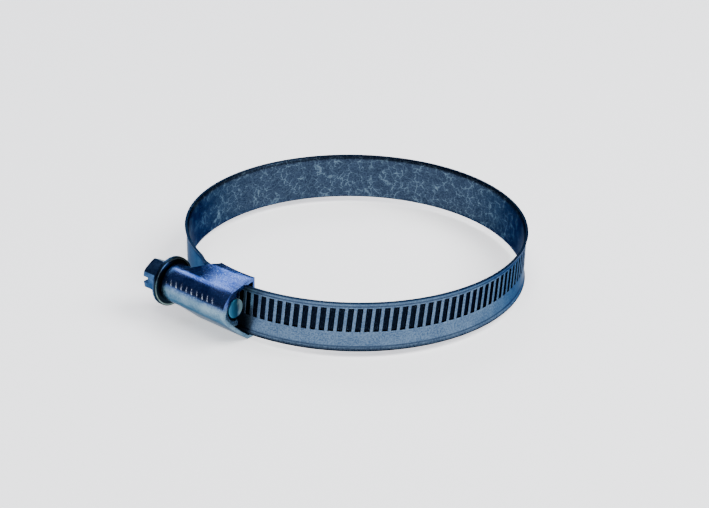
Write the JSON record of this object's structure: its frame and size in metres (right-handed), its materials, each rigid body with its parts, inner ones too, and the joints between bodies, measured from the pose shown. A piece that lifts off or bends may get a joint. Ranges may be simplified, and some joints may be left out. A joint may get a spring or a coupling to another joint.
{
  "type": "hose clamp",
  "caption": "Worm-drive hose clamp: a steel band with pressed grooves drawn tight through a screw housing by a slotted hexagon-head worm screw.",
  "frame": {"origin": "on the hose's axis, halfway across the band", "axes": "+Z along the hose's axis; the housing is on the -Y side and the screw's tip points along +X"},
  "size_m": [0.0836, 0.0934, 0.015],
  "materials": {
    "band_steel": "blue-grey zinc-coated strip, fine mottled outside, spangled inside",
    "housing_steel": "bright blue-passivated zinc on pressed sheet",
    "screw_steel": "blue-passivated zinc with a faint green cast"
  },
  "bodies": {
    "housing": {"screw_housing": "housing_steel", "band_fixed_end": "band_steel"},
    "screw": {"worm_screw": "screw_steel"},
    "band_span_01": {"band_span_01": "band_steel"},
    "band_span_02": {"band_span_02": "band_steel"},
    "band_span_03": {"band_span_03": "band_steel"},
    "band_span_04": {"band_span_04": "band_steel"},
    "band_span_05": {"band_span_05": "band_steel"},
    "band_span_06": {"band_span_06": "band_steel"},
    "band_span_07": {"band_span_07": "band_steel"},
    "band_span_08": {"band_span_08": "band_steel"},
    "band_span_09": {"band_span_09": "band_steel"},
    "band_span_10": {"band_span_10": "band_steel"},
    "band_span_11": {"band_span_11": "band_steel"},
    "band_span_12": {"band_span_12": "band_steel"},
    "band_span_13": {"band_span_13": "band_steel"},
    "band_span_14": {"band_span_14": "band_steel"},
    "band_span_15": {"band_span_15": "band_steel"},
    "band_span_16": {"band_span_16": "band_steel"},
    "band_span_17": {"band_span_17": "band_steel"},
    "band_span_18": {"band_span_18": "band_steel"},
    "band_span_19": {"band_span_19": "band_steel"},
    "band_span_20": {"band_span_20": "band_steel"},
    "band_span_21": {"band_span_21": "band_steel"}
  },
  "joints": [
    {"name": "screw_turn", "type": "hinge", "parent": "housing", "child": "screw", "pos_m": [0, -0.0458, 0.0016], "axis": [1, 0, 0], "range_deg": [0, 10703]},
    {"name": "band_bend_01", "type": "hinge", "parent": "housing", "child": "band_span_01", "pos_m": [-0.01481, -0.03716, 0], "axis": [0, 0, -1], "range_deg": [0, 8.12]},
    {"name": "band_bend_02", "type": "hinge", "parent": "band_span_01", "child": "band_span_02", "pos_m": [-0.02506, -0.03118, 0], "axis": [0, 0, -1], "range_deg": [0, 6.17]},
    {"name": "band_bend_03", "type": "hinge", "parent": "band_span_02", "child": "band_span_03", "pos_m": [-0.0331, -0.02247, 0], "axis": [0, 0, -1], "range_deg": [0, 5.2]},
    {"name": "band_bend_04", "type": "hinge", "parent": "band_span_03", "child": "band_span_04", "pos_m": [-0.03826, -0.01179, 0], "axis": [0, 0, -1], "range_deg": [0, 4.79]},
    {"name": "band_bend_05", "type": "hinge", "parent": "band_span_04", "child": "band_span_05", "pos_m": [-0.04008, -0.00007, 0], "axis": [0, 0, -1], "range_deg": [0, 4.7]},
    {"name": "band_bend_06", "type": "hinge", "parent": "band_span_05", "child": "band_span_06", "pos_m": [-0.03841, 0.01167, 0], "axis": [0, 0, -1], "range_deg": [0, 4.75]},
    {"name": "band_bend_07", "type": "hinge", "parent": "band_span_06", "child": "band_span_07", "pos_m": [-0.0334, 0.02243, 0], "axis": [0, 0, -1], "range_deg": [0, 4.83]},
    {"name": "band_bend_08", "type": "hinge", "parent": "band_span_07", "child": "band_span_08", "pos_m": [-0.02549, 0.03127, 0], "axis": [0, 0, -1], "range_deg": [0, 4.91]},
    {"name": "band_bend_09", "type": "hinge", "parent": "band_span_08", "child": "band_span_09", "pos_m": [-0.01537, 0.03745, 0], "axis": [0, 0, -1], "range_deg": [0, 4.96]},
    {"name": "band_bend_10", "type": "hinge", "parent": "band_span_09", "child": "band_span_10", "pos_m": [-0.00389, 0.04045, 0], "axis": [0, 0, -1], "range_deg": [0, 4.98]},
    {"name": "band_bend_11", "type": "hinge", "parent": "band_span_10", "child": "band_span_11", "pos_m": [0.00796, 0.04001, 0], "axis": [0, 0, -1], "range_deg": [0, 4.99]},
    {"name": "band_bend_12", "type": "hinge", "parent": "band_span_11", "child": "band_span_12", "pos_m": [0.01919, 0.03619, 0], "axis": [0, 0, -1], "range_deg": [0, 4.97]},
    {"name": "band_bend_13", "type": "hinge", "parent": "band_span_12", "child": "band_span_13", "pos_m": [0.02886, 0.0293, 0], "axis": [0, 0, -1], "range_deg": [0, 4.93]},
    {"name": "band_bend_14", "type": "hinge", "parent": "band_span_13", "child": "band_span_14", "pos_m": [0.03614, 0.01994, 0], "axis": [0, 0, -1], "range_deg": [0, 4.85]},
    {"name": "band_bend_15", "type": "hinge", "parent": "band_span_14", "child": "band_span_15", "pos_m": [0.04045, 0.00888, 0], "axis": [0, 0, -1], "range_deg": [0, 4.75]},
    {"name": "band_bend_16", "type": "hinge", "parent": "band_span_15", "child": "band_span_16", "pos_m": [0.04143, -0.00294, 0], "axis": [0, 0, -1], "range_deg": [0, 4.62]},
    {"name": "band_bend_17", "type": "hinge", "parent": "band_span_16", "child": "band_span_17", "pos_m": [0.039, -0.01455, 0], "axis": [0, 0, -1], "range_deg": [0, 4.48]},
    {"name": "band_bend_18", "type": "hinge", "parent": "band_span_17", "child": "band_span_18", "pos_m": [0.03338, -0.025, 0], "axis": [0, 0, -1], "range_deg": [0, 4.42]},
    {"name": "band_bend_19", "type": "hinge", "parent": "band_span_18", "child": "band_span_19", "pos_m": [0.02502, -0.03343, 0], "axis": [0, 0, -1], "range_deg": [0, 4.55]},
    {"name": "band_bend_20", "type": "hinge", "parent": "band_span_19", "child": "band_span_20", "pos_m": [0.01462, -0.03914, 0], "axis": [0, 0, -1], "range_deg": [0, 5.1]},
    {"name": "band_bend_21", "type": "hinge", "parent": "band_span_20", "child": "band_span_21", "pos_m": [0.00303, -0.04169, 0], "axis": [0, 0, -1], "range_deg": [0, 6.4]}
  ],
  "couplings": [
    {"joint": "band_bend_01", "follows": "screw_turn", "ratio": 0.00075642},
    {"joint": "band_bend_02", "follows": "screw_turn", "ratio": 0.00057451},
    {"joint": "band_bend_03", "follows": "screw_turn", "ratio": 0.00048351},
    {"joint": "band_bend_04", "follows": "screw_turn", "ratio": 0.00044614},
    {"joint": "band_bend_05", "follows": "screw_turn", "ratio": 0.00043745},
    {"joint": "band_bend_06", "follows": "screw_turn", "ratio": 0.00044156},
    {"joint": "band_bend_07", "follows": "screw_turn", "ratio": 0.00044941},
    {"joint": "band_bend_08", "follows": "screw_turn", "ratio": 0.0004566},
    {"joint": "band_bend_09", "follows": "screw_turn", "ratio": 0.00046146},
    {"joint": "band_bend_10", "follows": "screw_turn", "ratio": 0.0004638},
    {"joint": "band_bend_11", "follows": "screw_turn", "ratio": 0.00046398},
    {"joint": "band_bend_12", "follows": "screw_turn", "ratio": 0.0004623},
    {"joint": "band_bend_13", "follows": "screw_turn", "ratio": 0.00045838},
    {"joint": "band_bend_14", "follows": "screw_turn", "ratio": 0.00045165},
    {"joint": "band_bend_15", "follows": "screw_turn", "ratio": 0.00044184},
    {"joint": "band_bend_16", "follows": "screw_turn", "ratio": 0.00042932},
    {"joint": "band_bend_17", "follows": "screw_turn", "ratio": 0.0004168},
    {"joint": "band_bend_18", "follows": "screw_turn", "ratio": 0.00041082},
    {"joint": "band_bend_19", "follows": "screw_turn", "ratio": 0.00042343},
    {"joint": "band_bend_20", "follows": "screw_turn", "ratio": 0.00047482},
    {"joint": "band_bend_21", "follows": "screw_turn", "ratio": 0.00059572}
  ]
}
